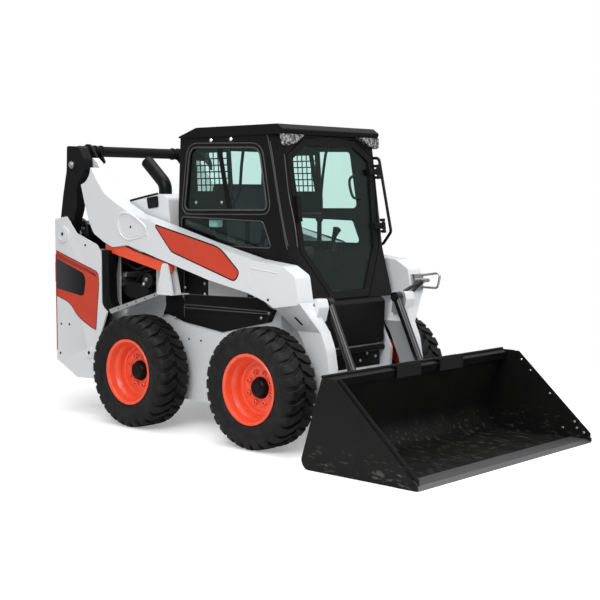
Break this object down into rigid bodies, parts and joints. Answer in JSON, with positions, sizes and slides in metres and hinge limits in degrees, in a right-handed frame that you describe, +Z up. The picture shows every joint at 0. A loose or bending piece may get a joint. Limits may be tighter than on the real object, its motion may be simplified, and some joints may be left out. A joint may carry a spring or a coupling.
{
  "type": "skid steer loader",
  "caption": "Skid steer loader with a vertical-lift boom on rear links, a dirt bucket, an enclosed cab and four free-turning wheels.",
  "frame": {"origin": "middle of the machine's length and width, on the ground", "axes": "+X forwards, +Y to the machine's left, +Z up"},
  "size_m": [3.551, 1.82, 2.006],
  "materials": {
    "white_paint": "gloss",
    "orange_paint": "gloss",
    "black_paint": "satin",
    "bucket_black": "satin",
    "black_plastic": "matte",
    "tailgate_black": "satin",
    "exhaust_black": "matte",
    "tyre_rubber": "matte",
    "edge_steel": "satin",
    "chrome_rod": "polished",
    "tinted_glass": "clear",
    "engine_iron": "matte",
    "lamp_red": "gloss",
    "lamp_clear": "gloss",
    "seat_vinyl": "matte",
    "coupler_steel": "satin"
  },
  "bodies": {
    "chassis": {"main_frame": "white_paint", "nose_frame": "white_paint", "axle_tubes": "black_paint", "engine_block": "engine_iron", "engine_hood": "white_paint", "exhaust_stack": "exhaust_black", "tail_lamps": "lamp_red", "cab_frame": "black_paint", "cab_roof": "black_paint", "cab_windows": "tinted_glass", "window_guards": "black_paint", "headlamps": "lamp_clear", "front_panel": "black_plastic", "seat": "seat_vinyl", "seat_bar": "black_paint", "control_levers": "black_plastic", "grab_bar": "black_paint", "uprights": "white_paint", "rear_fenders": "white_paint", "side_covers": "black_paint"},
    "wheel_front_right": {"tyre_front_right": "tyre_rubber", "rim_front_right": "orange_paint"},
    "wheel_front_left": {"tyre_front_left": "tyre_rubber", "rim_front_left": "orange_paint"},
    "wheel_rear_right": {"tyre_rear_right": "tyre_rubber", "rim_rear_right": "orange_paint"},
    "wheel_rear_left": {"tyre_rear_left": "tyre_rubber", "rim_rear_left": "orange_paint"},
    "rear_link_pair": {"rear_links": "black_paint"},
    "lift_arms": {"lift_arm_right": "white_paint", "lift_arm_left": "white_paint", "arm_legs": "white_paint", "aux_couplers": "coupler_steel"},
    "control_link_pair": {"control_links": "orange_paint"},
    "lift_barrel_pair": {"lift_barrels": "black_paint"},
    "lift_rod_pair": {"lift_rods": "chrome_rod"},
    "tilt_barrel_pair": {"tilt_barrels": "black_paint"},
    "tilt_rod_pair": {"tilt_rods": "chrome_rod"},
    "bucket": {"bucket_shell": "bucket_black", "bucket_sides": "bucket_black", "cutting_edge": "edge_steel", "quick_coupler": "bucket_black"},
    "cab_door": {"door_frame": "black_paint", "door_glass": "tinted_glass"},
    "rear_door": {"tailgate": "tailgate_black"}
  },
  "joints": [
    {"name": "wheel_front_right_spin", "type": "hinge", "parent": "chassis", "child": "wheel_front_right", "pos_m": [0.3555, -0.646, 0.378], "axis": [0, 1, 0], "continuous": true},
    {"name": "wheel_front_left_spin", "type": "hinge", "parent": "chassis", "child": "wheel_front_left", "pos_m": [0.3555, 0.646, 0.378], "axis": [0, 1, 0], "continuous": true},
    {"name": "wheel_rear_right_spin", "type": "hinge", "parent": "chassis", "child": "wheel_rear_right", "pos_m": [-0.7885, -0.646, 0.378], "axis": [0, 1, 0], "continuous": true},
    {"name": "wheel_rear_left_spin", "type": "hinge", "parent": "chassis", "child": "wheel_rear_left", "pos_m": [-0.7885, 0.646, 0.378], "axis": [0, 1, 0], "continuous": true},
    {"name": "lift", "type": "hinge", "parent": "rear_link_pair", "child": "lift_arms", "pos_m": [-1.4665, 0, 1.77], "axis": [0, -1, 0], "range_deg": [0, 84.54]},
    {"name": "rear_link_swing", "type": "hinge", "parent": "chassis", "child": "rear_link_pair", "pos_m": [-1.6295, 0, 1.286], "axis": [0, 1, 0], "range_deg": [0, 21.31]},
    {"name": "control_link_swing", "type": "hinge", "parent": "chassis", "child": "control_link_pair", "pos_m": [-0.5565, 0, 1.077], "axis": [0, 1, 0], "range_deg": [0, 68.39]},
    {"name": "lift_barrel_swing", "type": "hinge", "parent": "chassis", "child": "lift_barrel_pair", "pos_m": [-1.3385, 0, 0.452], "axis": [0, 1, 0], "range_deg": [0, 13.06]},
    {"name": "lift_rod_slide", "type": "slide", "parent": "lift_barrel_pair", "child": "lift_rod_pair", "axis": [0.1904, 0, 0.9817], "range_m": [0, 0.52655]},
    {"name": "bucket_tilt", "type": "hinge", "parent": "lift_arms", "child": "bucket", "pos_m": [0.8135, 0, 0.185], "axis": [0, 1, 0], "range_deg": [-25, 105]},
    {"name": "tilt_barrel_swing", "type": "hinge", "parent": "lift_arms", "child": "tilt_barrel_pair", "pos_m": [0.6435, 0, 0.9], "axis": [0, 1, 0], "range_deg": [-1.73, 7.22]},
    {"name": "tilt_rod_slide", "type": "slide", "parent": "tilt_barrel_pair", "child": "tilt_rod_pair", "axis": [0.4252, 0, -0.9051], "range_m": [-0.06021, 0.25255]},
    {"name": "cab_door_swing", "type": "hinge", "parent": "chassis", "child": "cab_door", "pos_m": [0.43134, 0.44, 1.5], "axis": [-0.1386, 0, 0.9904], "range_deg": [0, 90]},
    {"name": "rear_door_swing", "type": "hinge", "parent": "chassis", "child": "rear_door", "pos_m": [-1.7505, 0.606, 0.9], "axis": [0, 0, -1], "range_deg": [0, 100]}
  ],
  "couplings": [
    {"joint": "rear_link_swing", "follows": "lift", "ratio": 0.25194},
    {"joint": "control_link_swing", "follows": "lift", "ratio": 0.80881},
    {"joint": "lift_barrel_swing", "follows": "lift", "ratio": 0.15434},
    {"joint": "lift_rod_slide", "follows": "lift", "m_per_rad": 0.35678},
    {"joint": "tilt_barrel_swing", "follows": "bucket_tilt", "ratio": 0.068685},
    {"joint": "tilt_rod_slide", "follows": "bucket_tilt", "m_per_rad": 0.13775}
  ]
}
